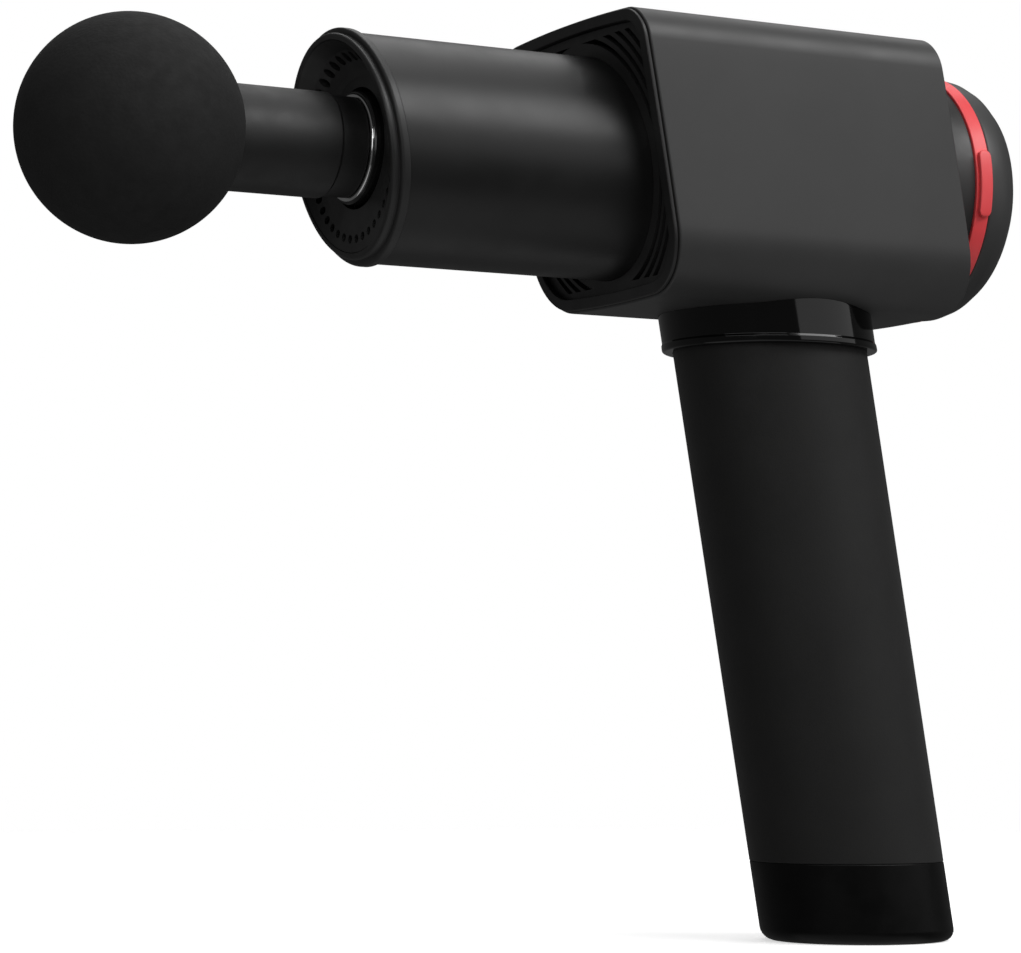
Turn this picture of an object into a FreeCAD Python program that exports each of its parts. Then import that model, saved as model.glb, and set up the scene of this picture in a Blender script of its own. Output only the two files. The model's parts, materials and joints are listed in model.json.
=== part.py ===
import FreeCAD, Part
import math
import os

import Sketcher

# Massage gun, millimetres.  X points forward along the barrel, Y to the gun's left and Z up.
# The origin is the centre of the foot's flat base.  The barrel's axis is level, while the
# handle and the body's end faces all lean back by one angle, the rake.

V = FreeCAD.Vector
Y_AXIS = V(0, 1, 0)
doc = FreeCAD.newDocument("massage_gun")
sheet = doc.addObject("Spreadsheet::Sheet", "Sizes")


class Size:
    """A length with its number and the spreadsheet expression that gives it."""

    def __init__(self, value, text):
        self.value = float(value)
        self.text = text

    @staticmethod
    def of(other):
        return other if isinstance(other, Size) else Size(other, "(%.6f)" % other)

    def join(self, sign, other, value):
        return Size(value, "(%s %s %s)" % (self.text, sign, other.text))

    def __add__(self, other):
        other = Size.of(other)
        return self.join("+", other, self.value + other.value)

    def __sub__(self, other):
        other = Size.of(other)
        return self.join("-", other, self.value - other.value)

    def __mul__(self, other):
        other = Size.of(other)
        return self.join("*", other, self.value * other.value)

    def __truediv__(self, other):
        other = Size.of(other)
        return self.join("/", other, self.value / other.value)

    def __radd__(self, other):
        return Size.of(other) + self

    def __rsub__(self, other):
        return Size.of(other) - self

    def __rmul__(self, other):
        return Size.of(other) * self

    def __neg__(self):
        return Size.of(0) - self


def root(size):
    return Size(math.sqrt(size.value), "sqrt(%s)" % size.text)


def tangent(size):
    return Size(math.tan(math.radians(size.value)), "tan(%s)" % size.text)


def cosine(size):
    return Size(math.cos(math.radians(size.value)), "cos(%s)" % size.text)


class Dimensions:
    """The driving sizes: each becomes a cell of the sheet and an attribute of this object."""

    def __init__(self, rows):
        for row, (alias, value) in enumerate(rows, start=1):
            sheet.set("A%d" % row, alias)
            sheet.set("B%d" % row, "%g" % value)
            sheet.setAlias("B%d" % row, alias)
            setattr(self, alias, Size(value, "Sizes.%s" % alias))


d = Dimensions([
    ("rake", 10.0),              # degrees that the handle and end faces lean back
    ("axis_height", 186.0),      # barrel axis above the foot's base
    ("nozzle_front", 143.0),     # where the nozzle's face crosses the barrel axis
    ("body_front", 75.5),        # where the body's front face crosses it
    ("body_back", -7.1),         # where the body's rear edge crosses it
    ("ball_radius", 26.0),
    ("ball_ahead", 52.0),        # ball centre in front of the nozzle
    ("stem_radius", 12.3),
    ("neck_radius", 11.7),
    ("plug_radius", 9.7),
    ("socket_radius", 10.0),
    ("piston_radius", 13.2),
    ("rim_radius", 12.6),
    ("hole_radius", 14.2),       # opening in the nozzle plate
    ("barrel_radius", 26.5),
    ("barrel_wall", 2.2),
    ("body_half_width", 34.4),   # at the side's corners, before the side bulges
    ("body_top", 33.7),          # top corners above the barrel axis
    ("body_bottom", 31.7),       # bottom corners below it
    ("side_bulge", 0.6),
    ("top_bulge", 1.2),
    ("top_corner", 8.7),
    ("bottom_corner", 15.6),
    ("shell_wall", 2.4),
    ("grip_radius", 23.6),
    ("tube_radius", 21.8),
    ("tube_bore", 20.2),
    ("collar_radius", 25.9),
    ("foot_height", 19.5),
    ("collar_bottom", 144.3),
    ("grip_top", 147.0),
    ("rear_drop", 0.5),          # the rear ring's level axis below the barrel axis
    ("cap_radius", 30.7),
    ("ring_radius", 31.1),
    ("stroke", 12.0),
    ("rod_length", 50.0),
    ("motor_centre", 30.0),      # motor axis in front of the origin
    ("shaft_radius", 3.0),
    ("cell_radius", 9.2),
    ("cell_length", 65.0),
    ("fit_gap", 0.3),
    ("running_gap", 0.05),
])
doc.recompute()

slope = tangent(d.rake)
FAR = 400.0                      # longer than the object, for cuts that go right through


# ---- Frames: where a sub-part's own axes sit --------------------------------------------

def set_frame(piece, x, z, tilt=None):
    """Puts a piece's own axes at x and z, leaning back by tilt degrees."""
    piece.Placement = FreeCAD.Placement(V(0, 0, 0), FreeCAD.Rotation(Y_AXIS, 0 if tilt is None else 1))
    piece.setExpression("Placement.Base.x", Size.of(x).text)
    piece.setExpression("Placement.Base.z", Size.of(z).text)
    if tilt is not None:
        piece.setExpression("Placement.Rotation.Angle", tilt.text)


def on_barrel(piece):
    set_frame(piece, 0, d.axis_height)


def on_handle(piece):
    set_frame(piece, 0, 0, d.rake)


def on_rear(piece):
    set_frame(piece, d.body_back, d.axis_height - d.rear_drop)


def on_motor(piece):
    set_frame(piece, d.motor_centre, d.axis_height)


# ---- Sketches and features --------------------------------------------------------------

def origin_plane(body, role):
    for feature in body.Origin.OriginFeatures:
        if feature.Role == role:
            return feature
    raise ValueError(role)


def new_sketch(body, role, offset=None):
    sketch = body.newObject("Sketcher::SketchObject", body.Label + "_sketch")
    sketch.AttachmentSupport = (origin_plane(body, role), [""])
    sketch.MapMode = "FlatFace"
    if offset is not None:
        sketch.setExpression("AttachmentOffset.Base.z", Size.of(offset).text)
    return sketch


def bind(sketch, kind, *where, size):
    size = Size.of(size)
    index = sketch.addConstraint(Sketcher.Constraint(kind, *where, size.value))
    sketch.setExpression("Constraints[%d]" % index, size.text)


def arc_between(start, end, radius):
    """Arc from start to end: a positive radius turns anticlockwise, a negative one clockwise."""
    half = (end - start) * 0.5
    across = V(-half.y, half.x, 0)
    across.normalize()
    reach = math.sqrt(max(radius * radius - half.dot(half), 0.0))
    centre = start + half + across * math.copysign(reach, radius)
    circle = Part.Circle(centre, V(0, 0, 1), abs(radius))
    first, last = (start, end) if radius > 0 else (end, start)
    first_angle = math.atan2(first.y - centre.y, first.x - centre.x)
    last_angle = math.atan2(last.y - centre.y, last.x - centre.x)
    return Part.ArcOfCircle(circle, first_angle, last_angle)


def draw_loop(sketch, corners):
    """Closed outline.  A corner is (x, y), or (x, y, radius) when an arc leaves it."""
    base = sketch.GeometryCount
    count = len(corners)
    points = [V(Size.of(c[0]).value, Size.of(c[1]).value, 0) for c in corners]
    ends = []
    for index, corner in enumerate(corners):
        start, end = points[index], points[(index + 1) % count]
        if len(corner) == 2:
            sketch.addGeometry(Part.LineSegment(start, end), False)
            ends.append((1, 2))
        else:
            radius = Size.of(corner[2])
            sketch.addGeometry(arc_between(start, end, radius.value), False)
            ends.append((1, 2) if radius.value > 0 else (2, 1))
    for index, corner in enumerate(corners):
        following = (index + 1) % count
        edge = base + index
        sketch.addConstraint(Sketcher.Constraint(
            "Coincident", edge, ends[index][1], base + following, ends[following][0]))
        bind(sketch, "DistanceX", -1, 1, edge, ends[index][0], size=corner[0])
        bind(sketch, "DistanceY", -1, 1, edge, ends[index][0], size=corner[1])
        if len(corner) == 3:
            radius = Size.of(corner[2])
            bind(sketch, "Radius", edge, size=radius if radius.value > 0 else -radius)


def draw_circle(sketch, x, y, radius):
    x, y, radius = Size.of(x), Size.of(y), Size.of(radius)
    edge = sketch.addGeometry(Part.Circle(V(x.value, y.value, 0), V(0, 0, 1), radius.value), False)
    bind(sketch, "DistanceX", -1, 1, edge, 3, size=x)
    bind(sketch, "DistanceY", -1, 1, edge, 3, size=y)
    bind(sketch, "Radius", edge, size=radius)


def new_body(label):
    body = doc.addObject("PartDesign::Body", label)
    body.Label = label
    return body


def turned(label, frame, axis, *loops):
    """Body of revolution.  Loops are (along, radius) for axis X and (radius, along) otherwise."""
    body = new_body(label)
    sketch = new_sketch(body, "XY_Plane" if axis == "Y" else "XZ_Plane")
    for loop in loops:
        draw_loop(sketch, loop)
    turn = body.newObject("PartDesign::Revolution", label + "_turn")
    turn.Profile = sketch
    turn.ReferenceAxis = (sketch, ["H_Axis" if axis == "X" else "V_Axis"])
    turn.Angle = 360
    frame(body)
    return body


def tube(label, frame, axis, inner, outer, start, end):
    """Plain ring or tube between two stations on its axis."""
    if axis == "X":
        corners = [(start, inner), (end, inner), (end, outer), (start, outer)]
    else:
        corners = [(inner, start), (outer, start), (outer, end), (inner, end)]
    return turned(label, frame, axis, corners)


def disc(label, frame, axis, radius, start, end):
    return tube(label, frame, axis, 0, radius, start, end)


def pad(body, sketch, length, symmetric=False, backward=False):
    feature = body.newObject("PartDesign::Pad", body.Label + "_pad")
    feature.Profile = sketch
    feature.setExpression("Length", Size.of(length).text)
    feature.Midplane = symmetric
    feature.Reversed = backward
    return feature


def cut_through(body, role, *loops, circles=()):
    """Pocket right through the body, both ways from the plane."""
    sketch = new_sketch(body, role)
    for loop in loops:
        draw_loop(sketch, loop)
    for circle in circles:
        draw_circle(sketch, *circle)
    feature = body.newObject("PartDesign::Pocket", body.Label + "_cut")
    feature.Profile = sketch
    feature.Type = "ThroughAll"
    feature.Midplane = True
    return feature


def trim_ahead(body, station):
    """Cuts away all that is in front of a raked plane that crosses the local X axis at station."""
    tall = 60.0
    cut_through(body, "XZ_Plane", [
        (station - slope * tall, -tall), (FAR, -tall), (FAR, tall), (station + slope * tall, tall)])


def trim_behind(body, station):
    tall = 60.0
    cut_through(body, "XZ_Plane", [
        (station - slope * tall, -tall), (station + slope * tall, tall), (-FAR, tall), (-FAR, -tall)])


def trim_above(body, height):
    """Cuts a handle piece level at a height above the floor."""
    wide = 70.0
    level = height / cosine(d.rake)
    cut_through(body, "XZ_Plane", [
        (-wide, level - slope * wide), (wide, level + slope * wide), (wide, FAR), (-wide, FAR)])


def trim_below(body, height):
    wide = 70.0
    level = height / cosine(d.rake)
    cut_through(body, "XZ_Plane", [
        (-wide, level - slope * wide), (-wide, -FAR), (wide, -FAR), (wide, level + slope * wide)])


def round_edges(body, radius, chosen, kind="Fillet"):
    """Fillets or chamfers the edges of the body's tip that chosen(edge) accepts."""
    doc.recompute()
    tip = body.Tip
    names = ["Edge%d" % (i + 1) for i, edge in enumerate(tip.Shape.Edges) if chosen(edge)]
    if not names:
        raise ValueError("no edge to round on " + body.Label)
    feature = body.newObject("PartDesign::" + kind, body.Label + "_" + kind.lower())
    feature.Base = (tip, names)
    prop = "Radius" if kind == "Fillet" else "Size"
    feature.setExpression(prop, Size.of(radius).text)
    return feature


def pattern(body, feature, count, axis_role):
    """Repeats a feature around one of the body's own axes."""
    ring = body.newObject("PartDesign::PolarPattern", body.Label + "_pattern")
    ring.Originals = [feature]
    ring.Axis = (origin_plane(body, axis_role), [""])
    ring.Angle = 360
    ring.Occurrences = count
    body.Tip = ring
    return ring


# ---- Simple repeated pieces -------------------------------------------------------------

def cylinder(label, radius, length, x=0, y=0, z=0, direction=V(0, 0, 1)):
    piece = doc.addObject("Part::Cylinder", label)
    piece.setExpression("Radius", Size.of(radius).text)
    piece.setExpression("Height", Size.of(length).text)
    piece.Placement = FreeCAD.Placement(V(0, 0, 0), FreeCAD.Rotation(V(0, 0, 1), direction))
    for name, value in (("x", x), ("y", y), ("z", z)):
        piece.setExpression("Placement.Base." + name, Size.of(value).text)
    return piece


def block(label, sizes, x=0, y=0, z=0):
    """Box given by its three sizes and its lowest corner."""
    piece = doc.addObject("Part::Box", label)
    for name, value in zip(("Length", "Width", "Height"), sizes):
        piece.setExpression(name, Size.of(value).text)
    for name, value in (("x", x), ("y", y), ("z", z)):
        piece.setExpression("Placement.Base." + name, Size.of(value).text)
    return piece


def cut(label, base, tool):
    piece = doc.addObject("Part::Cut", label)
    piece.Base = base
    piece.Tool = tool
    return piece


def fuse(label, pieces):
    piece = doc.addObject("Part::MultiFuse", label)
    piece.Shapes = pieces
    return piece


def group(label, frame, pieces):
    """One node that holds several identical separate solids."""
    piece = doc.addObject("Part::Compound", label)
    piece.Label = label
    piece.Links = pieces
    frame(piece)
    return piece


def around(count, radius, start=0.0):
    """Points spaced evenly on a circle, as pairs of sizes."""
    for index in range(count):
        angle = math.radians(start + 360.0 * index / count)
        yield Size.of(radius) * math.cos(angle), Size.of(radius) * math.sin(angle)


def screw(label, x, y, z, direction, length, head=2.8, shank=1.5):
    """Pan-head screw: its head's underside is at the given point, and it points along direction."""
    head_height = 1.8
    back = V(direction)
    back.multiply(-head_height)
    cap = cylinder(label + "_head", head, head_height, x + back.x, y + back.y, z + back.z, direction)
    core = cylinder(label + "_shank", shank, length, x, y, z, direction)
    return fuse(label, [cap, core])


# ---- Massage head: pulls out of the piston's socket -------------------------------------

ball_x = d.nozzle_front + d.ball_ahead
rim_front = d.nozzle_front - 2.1
shoulder = ball_x - 20.0
core_radius = Size.of(8.0)
core_end = ball_x + 8.0
plug_start = rim_front - 28.0
groove_stations = (rim_front - 9.0, rim_front - 21.0)
groove_half = 1.1
groove_radius = 8.2
o_ring_section = 0.85


def massage_ball():
    mouth_radius = d.stem_radius + 0.1
    mouth = ball_x - root(d.ball_radius * d.ball_radius - mouth_radius * mouth_radius)
    return turned("massage_ball", on_barrel, "X", [
        (core_end, 0),
        (ball_x + d.ball_radius, 0, d.ball_radius),
        (mouth, mouth_radius),
        (shoulder, mouth_radius),
        (shoulder, core_radius),
        (core_end, core_radius)])


def ball_stem():
    neck_start = rim_front + 0.1
    neck_end = rim_front + 6.5
    grooves = []
    for station in groove_stations:
        grooves += [
            (station + groove_half, d.plug_radius),
            (station + groove_half, groove_radius),
            (station - groove_half, groove_radius),
            (station - groove_half, d.plug_radius)]
    return turned("ball_stem", on_barrel, "X", [
        (plug_start, 0),
        (core_end - 0.2, 0),
        (core_end - 0.2, core_radius - 0.05),
        (shoulder, core_radius - 0.05),
        (shoulder, d.stem_radius),
        (neck_end + 0.7, d.stem_radius),
        (neck_end, d.neck_radius),
        (neck_start, d.neck_radius),
        (neck_start, d.plug_radius)] + grooves + [
        (plug_start + 1.0, d.plug_radius),
        (plug_start, d.plug_radius - 1.0)])


def stem_o_rings():
    rings = []
    for index, station in enumerate(groove_stations):
        ring = doc.addObject("Part::Torus", "o_ring_%d" % index)
        ring.setExpression("Radius1", Size.of(groove_radius + o_ring_section).text)
        ring.setExpression("Radius2", Size.of(o_ring_section).text)
        ring.Placement = FreeCAD.Placement(V(0, 0, 0), FreeCAD.Rotation(Y_AXIS, 90))
        ring.setExpression("Placement.Base.x", station.text)
        rings.append(ring)
    return group("stem_o_rings", on_barrel, rings)


# ---- Piston and connecting rod ----------------------------------------------------------

crank_x = d.motor_centre + d.stroke / 2
wrist_x = crank_x + d.rod_length
piston_back = wrist_x - 7.0
rim_back = rim_front - 2.0
wrist_radius = 2.5
pin_radius = 3.5


def piston():
    face = rim_front - 0.6
    fork_depth = 15.0
    fork_half = 4.5
    body = turned("piston", on_barrel, "X", [
        (piston_back, 0),
        (plug_start - 1.0, 0),
        (plug_start - 1.0, d.socket_radius),
        (rim_back, d.socket_radius),
        (rim_back, d.rim_radius),
        (face, d.rim_radius),
        (face, d.piston_radius - 0.3),
        (face - 0.3, d.piston_radius),
        (piston_back, d.piston_radius)])
    cut_through(body, "XY_Plane", [
        (piston_back - 5.0, -fork_half),
        (piston_back + fork_depth, -fork_half),
        (piston_back + fork_depth, fork_half),
        (piston_back - 5.0, fork_half)])
    cut_through(body, "XZ_Plane", circles=[(wrist_x, 0, wrist_radius)])
    return body


def socket_rim():
    bevel = 0.5
    return turned("socket_rim", on_barrel, "X", [
        (rim_back, d.socket_radius),
        (rim_front, d.socket_radius),
        (rim_front, d.rim_radius - bevel),
        (rim_front - bevel, d.rim_radius),
        (rim_back, d.rim_radius)])


def on_wrist(piece):
    set_frame(piece, wrist_x, d.axis_height)


def on_crank_pin(piece):
    set_frame(piece, crank_x, d.axis_height)


def wrist_pin():
    return disc("wrist_pin", on_wrist, "Y", wrist_radius, -12.0, 12.0)


def rod_bush():
    return tube("rod_bush", on_wrist, "Y", wrist_radius + 0.04, 4.0, -3.4, 3.4)


def connecting_rod():
    width = 7.0
    big_end = 10.5
    small_end = 6.0
    body = new_body("connecting_rod")
    for x, radius in ((crank_x, big_end), (wrist_x, small_end)):
        eye = new_sketch(body, "XZ_Plane")
        draw_circle(eye, x, 0, radius)
        pad(body, eye, width, symmetric=True)
    beam = new_sketch(body, "XZ_Plane")
    draw_loop(beam, [(crank_x, -6.0), (wrist_x, -4.2), (wrist_x, 4.2), (crank_x, 6.0)])
    pad(body, beam, width - 1.6, symmetric=True)
    cut_through(body, "XZ_Plane", circles=[(crank_x, 0, 8.0), (wrist_x, 0, 4.0)])
    window_back = crank_x + big_end + 3.0
    window_front = wrist_x - small_end - 3.0
    cut_through(body, "XZ_Plane", [
        (window_back, -2.2), (window_front, -1.4), (window_front, 1.4), (window_back, 2.2)])
    on_barrel(body)
    return body


def at_origin(piece):
    piece.Placement = FreeCAD.Placement()


def ball_bearing(name, bore, outer, start, end, balls):
    """Deep-groove bearing about the local Y axis: two races and a ring of balls."""
    race = 1.4
    pitch = (Size.of(bore) + outer) / 2
    ball_radius = 1.15
    middle = (start + end) / 2.0
    parts = [
        tube(name + "_outer_race", at_origin, "Y", outer - race, outer, start, end),
        tube(name + "_inner_race", at_origin, "Y", bore, bore + race, start, end)]
    gap = (outer - bore - 2 * race) / 2.0
    for index, (x, z) in enumerate(around(balls, pitch)):
        ball = doc.addObject("Part::Sphere", "%s_ball_%d" % (name, index))
        ball.Radius = min(ball_radius, gap - 0.02)
        ball.Placement.Base.y = middle
        ball.setExpression("Placement.Base.x", x.text)
        ball.setExpression("Placement.Base.z", z.text)
        parts.append(ball)
    return parts


def big_end_bearing():
    return group("big_end_bearing", on_crank_pin, ball_bearing("big_end", pin_radius, 8.0, -2.5, 2.5, 10))


def crank_pin():
    """The pin stays with the rod and stops short of the crank disc: the linkage opens here."""
    return turned("crank_pin", on_crank_pin, "Y", [
        (0, crank_face + d.fit_gap),
        (pin_radius, crank_face + d.fit_gap),
        (pin_radius, 3.0),
        (pin_radius + 1.5, 3.0),
        (pin_radius + 1.5, 4.4),
        (0, 4.4)])


# ---- Crank and motor, about an axis across the body -------------------------------------

crank_face = Size.of(-6.0)
disc_back = crank_face - 4.0
disc_radius = 14.0
bearing_radius = 7.0
hub_radius = 9.5
plate_face = -13.5
plate_back = -16.5
hub_end = -26.0
bell_radius = 23.0


def crank_disc():
    body = turned("crank_disc", on_motor, "Y", [
        (d.shaft_radius, disc_back),
        (disc_radius - 0.6, disc_back),
        (disc_radius, disc_back + 0.6),
        (disc_radius, crank_face - 0.6),
        (disc_radius - 0.6, crank_face),
        (d.shaft_radius, crank_face)])
    cut_through(body, "XZ_Plane", circles=[(d.stroke / 2 + 1.2, 0, 1.6)])
    return body


def counterweight():
    body = tube("counterweight", on_motor, "Y", 7.0, disc_radius, disc_back - 2.8, disc_back)
    cut_through(body, "XZ_Plane", [(-1.5, -20), (20, -20), (20, 20), (-1.5, 20)])
    return body


def motor_shaft():
    return disc("motor_shaft", on_motor, "Y", d.shaft_radius, -30.0, crank_face)


def rotor_bell():
    wall = 1.7
    body = turned("rotor_bell", on_motor, "Y", [
        (d.shaft_radius, -30.0),
        (bell_radius - 1.0, -30.0),
        (bell_radius, -29.0),
        (bell_radius, -17.5),
        (bell_radius - wall, -17.5),
        (bell_radius - wall, -28.0),
        (d.shaft_radius, -28.0)])
    vent = cut_through(body, "XZ_Plane", circles=[(13.5, 0, 3.6)])
    pattern(body, vent, 6, "Y_Axis")
    return body


def turned_copies(name, count, make):
    """Copies of a piece spaced about the local Y axis."""
    copies = []
    for index in range(count):
        piece = make("%s_%d" % (name, index))
        turn = FreeCAD.Placement(V(0, 0, 0), FreeCAD.Rotation(Y_AXIS, 360.0 * index / count))
        piece.Placement = turn.multiply(piece.Placement)
        copies.append(piece)
    return copies


def plain_block(label, sizes, x, y, z):
    """Box whose corner is set by numbers, so that it can be turned about the axis afterwards."""
    piece = doc.addObject("Part::Box", label)
    piece.Length, piece.Width, piece.Height = sizes
    piece.Placement.Base = V(x, y, z)
    return piece


def rotor_magnets():
    def magnet(label):
        return plain_block(label, (1.4, 9.5, 7.4), 19.5, -27.6, -3.7)
    return group("rotor_magnets", on_motor, turned_copies("magnet", 14, magnet))


stack_middle = 22.6
tooth_half = 1.5


def stator_core():
    thickness = 6.4
    body = new_body("stator_core")
    ring = new_sketch(body, "XZ_Plane", stack_middle)
    draw_circle(ring, 0, 0, 12.0)
    draw_circle(ring, 0, 0, hub_radius)
    pad(body, ring, thickness, symmetric=True)
    tooth = new_sketch(body, "XZ_Plane", stack_middle)
    draw_loop(tooth, [
        (11.0, -tooth_half), (17.6, -tooth_half), (17.9, -3.9), (18.8, -3.9),
        (18.8, 3.9), (17.9, 3.9), (17.6, tooth_half), (11.0, tooth_half)])
    leaf = pad(body, tooth, thickness, symmetric=True)
    pattern(body, leaf, 12, "Y_Axis")
    on_motor(body)
    return body


def stator_windings():
    def coil(label):
        wound = plain_block(label + "_wound", (5.0, 8.4, 5.4), 12.3, -26.8, -2.7)
        core = plain_block(label + "_core", (7.0, 6.6, 3.2), 11.3, -25.9, -1.6)
        return cut(label, wound, core)
    return group("stator_windings", on_motor, turned_copies("coil", 12, coil))


def motor_bearings():
    parts = []
    for index, end in enumerate((hub_end + 0.2, plate_back - 1.5)):
        parts += ball_bearing("motor_bearing_%d" % index, d.shaft_radius.value, bearing_radius,
                              end, end + 4.0, 7)
    return group("motor_bearings", on_motor, parts)


# ---- Chassis, cylinder and barrel -------------------------------------------------------

bulkhead_x = Size.of(62.0)
bulkhead_front = bulkhead_x + 4.0
floor_low = -26.5
floor_high = -23.5
floor_half = 20.0
floor_back = -2.0
barrel_bore = d.barrel_radius - d.barrel_wall
barrel_screw_circle = 20.5
barrel_screw_start = 0.0
handle_screw_x = 25.0
handle_screw_y = 10.5
screw_hole = 1.55


def handle_centre(height):
    """X of the handle's axis at a height above the floor."""
    return height * slope


flange_top = d.axis_height + floor_low


def handle_screw_points():
    middle = handle_centre(flange_top)
    for side in (-1, 1):
        for end in (-1, 1):
            yield middle + end * handle_screw_x, side * handle_screw_y


def chassis():
    """Plate that carries the motor, with a bulkhead in front and a floor on the handle."""
    body = new_body("chassis")
    bulkhead = new_sketch(body, "YZ_Plane", bulkhead_x)
    draw_loop(bulkhead, [
        (-29, -19), (-floor_half, floor_low), (floor_half, floor_low), (29, -19), (29, 29), (-29, 29)])
    draw_circle(bulkhead, 0, 0, 15.0)
    for y, z in around(4, barrel_screw_circle, barrel_screw_start):
        draw_circle(bulkhead, y, z, screw_hole)
    pad(body, bulkhead, bulkhead_front - bulkhead_x)
    floor = new_sketch(body, "XY_Plane", floor_low)
    draw_loop(floor, [
        (floor_back, -floor_half), (bulkhead_x, -floor_half),
        (bulkhead_x, floor_half), (floor_back, floor_half)])
    for x, y in handle_screw_points():
        draw_circle(floor, x, y, screw_hole)
    draw_circle(floor, handle_centre(flange_top), 0, 8.0)
    pad(body, floor, floor_high - floor_low)
    plate = new_sketch(body, "XZ_Plane", -plate_face)
    draw_loop(plate, [(-1, floor_low), (bulkhead_x, floor_low), (bulkhead_x, 28), (8, 28), (2, 20)])
    draw_circle(plate, d.motor_centre, 0, bearing_radius)
    pad(body, plate, plate_face - plate_back)
    hub = new_sketch(body, "XZ_Plane", -plate_back)
    draw_circle(hub, d.motor_centre, 0, hub_radius)
    draw_circle(hub, d.motor_centre, 0, bearing_radius)
    pad(body, hub, plate_back - hub_end)
    on_barrel(body)
    return body


def cylinder_block():
    """Tube with two flanges that holds the guide bush in the middle of the barrel."""
    flange = barrel_bore - 0.1
    front = d.nozzle_front - 13.0
    body = turned("cylinder_block", on_barrel, "X", [
        (bulkhead_front, 16.0), (front, 16.0), (front, flange), (front - 4.0, flange),
        (front - 4.0, 18.0), (bulkhead_front + 4.0, 18.0), (bulkhead_front + 4.0, flange),
        (bulkhead_front, flange)])
    cut_through(body, "YZ_Plane", circles=[
        (y, z, screw_hole) for y, z in around(4, barrel_screw_circle, barrel_screw_start)])
    airway_reach = 15.0
    airway = cut_through(body, "YZ_Plane", circles=[(airway_reach, airway_reach, 1.8)])
    pattern(body, airway, 4, "X_Axis")
    return body


def guide_bush():
    return tube("guide_bush", on_barrel, "X", d.piston_radius + d.running_gap, 16.0,
                d.nozzle_front - 57.0, d.nozzle_front - 13.0)


def piston_seal():
    """Wiper ring that keeps grit out of the guide bush."""
    start = d.nozzle_front - 13.0
    return turned("piston_seal", on_barrel, "X", [
        (start, 15.0), (start + 1.2, 15.0), (start + 3.0, d.piston_radius + d.running_gap),
        (start + 3.6, d.piston_radius + d.running_gap), (start + 2.6, 17.5), (start, 17.5)])


nozzle_lip = 4.0
nozzle_step = 2.2
nozzle_flange_radius = 27.3
nozzle_rim_radius = 25.9


def barrel_tube():
    body = tube("barrel_tube", on_barrel, "X", barrel_bore, d.barrel_radius, bulkhead_front, 170)
    trim_ahead(body, d.nozzle_front - nozzle_lip)
    return body


def nozzle_ring(label, radius, start, end):
    """Raked ring with its front outer edge rounded."""
    rounding = 0.9
    body = tube(label, on_barrel, "X", barrel_bore, radius, 110, 170)
    trim_behind(body, start)
    trim_ahead(body, end)
    middle = (start.value + end.value) / 2
    round_edges(body, rounding, lambda edge: (
        edge.BoundBox.YLength > 2 * radius - 2 and edge.BoundBox.Center.x > middle))
    return body


def nozzle_bezel():
    """Trim ring on the barrel's front end: a proud flange, then a narrower rim."""
    start = d.nozzle_front - nozzle_lip
    flange = nozzle_ring("nozzle_flange", nozzle_flange_radius, start, start + nozzle_step)
    rim = nozzle_ring("nozzle_rim", nozzle_rim_radius, start + nozzle_step / 2, d.nozzle_front)
    return fuse("nozzle_bezel", [flange, rim])


vent_holes = 40
vent_circle = 21.1
vent_radius = 1.0


def nozzle_vent_plate():
    """Plate dished from the raked rim down to the round opening, with a ring of air holes."""
    thickness = 2.2
    mouth_lip = 0.6
    bands = 5
    hollowness = 2.7
    opening = d.hole_radius.value
    mouth = opening + mouth_lip
    rim = barrel_bore.value - 0.1
    mouth_x = d.nozzle_front.value - 4.5
    front_x = d.nozzle_front.value - 0.3
    wires = []
    for band in range(bands + 1):
        share = band / bands
        rise = share ** hollowness
        shear = FreeCAD.Matrix()
        shear.A13 = slope.value * rise
        circle = Part.makeCircle(mouth + (rim - mouth) * share, V(0, 0, 0), V(1, 0, 0))
        wire = Part.Wire(circle).transformGeometry(shear)
        wire.translate(V(mouth_x + (front_x - mouth_x) * rise, 0, 0))
        wires.append(wire)
    dish = Part.makeLoft(wires, True, True)
    ahead = Part.Face(wires[-1]).extrude(V(30, 0, 0))
    hollow = dish.fuse(ahead)
    outer = hollow.copy()
    outer.translate(V(-thickness, 0, 0))
    shape = outer.cut(hollow)
    tools = [Part.makeCylinder(opening, 60, V(mouth_x - 30, 0, 0), V(1, 0, 0))]
    for y, z in around(vent_holes, vent_circle):
        tools.append(Part.makeCylinder(vent_radius, 60, V(mouth_x - 30, y.value, z.value), V(1, 0, 0)))
    feature = doc.addObject("Part::Feature", "nozzle_vent_plate")
    feature.Shape = shape.cut(tools)
    on_barrel(feature)
    return feature


def barrel_screws():
    screws = []
    for index, (y, z) in enumerate(around(4, barrel_screw_circle, barrel_screw_start)):
        screws.append(screw("barrel_screw_%d" % index, bulkhead_x, y, z, V(1, 0, 0), 8.5, shank=1.45))
    return group("barrel_screws", on_barrel, screws)


# ---- Body shell and its two ends --------------------------------------------------------

def bulge_radius(half_chord, bulge):
    return (half_chord * half_chord + bulge * bulge) / (2 * bulge)


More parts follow.
